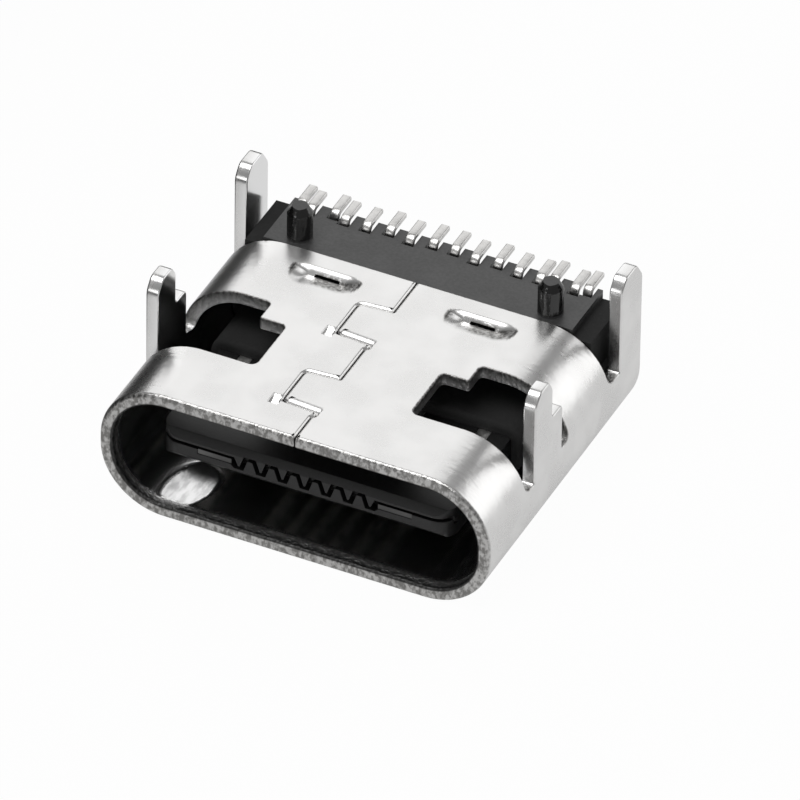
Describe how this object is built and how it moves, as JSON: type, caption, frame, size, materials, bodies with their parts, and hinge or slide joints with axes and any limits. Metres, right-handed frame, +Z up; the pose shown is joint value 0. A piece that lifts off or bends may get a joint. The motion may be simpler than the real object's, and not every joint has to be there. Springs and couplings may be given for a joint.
{
  "type": "usb-c socket",
  "caption": "Board-mounted socket for a reversible plug: folded metal shell with bent legs, moulded housing with locating pegs, plated tongue and contacts.",
  "frame": {"origin": "middle of the outline, on the plane of the face that the shell lies on", "axes": "+Z up to the side that meets the circuit board, -Y out of the mouth, +X across the mouth to the right as seen by someone who looks into it"},
  "size_m": [0.009, 0.0078, 0.0043],
  "materials": {
    "shell_steel": "satin plating",
    "housing_plastic": "matte moulded",
    "tongue_plastic": "fine moulded",
    "contact_metal": "matte plating",
    "plate_steel": "plain rolled"
  },
  "bodies": {
    "root": {"shell": "shell_steel", "housing": "housing_plastic", "tongue_board_half": "tongue_plastic", "tongue_far_half": "tongue_plastic", "mid_plate": "plate_steel", "contact_a1": "contact_metal", "contact_a4": "contact_metal", "contact_a5": "contact_metal", "contact_a6": "contact_metal", "contact_a7": "contact_metal", "contact_a8": "contact_metal", "contact_a9": "contact_metal", "contact_a12": "contact_metal", "contact_b12": "contact_metal", "contact_b9": "contact_metal", "contact_b8": "contact_metal", "contact_b7": "contact_metal", "contact_b6": "contact_metal", "contact_b5": "contact_metal", "contact_b4": "contact_metal", "contact_b1": "contact_metal"}
  },
  "joints": []
}
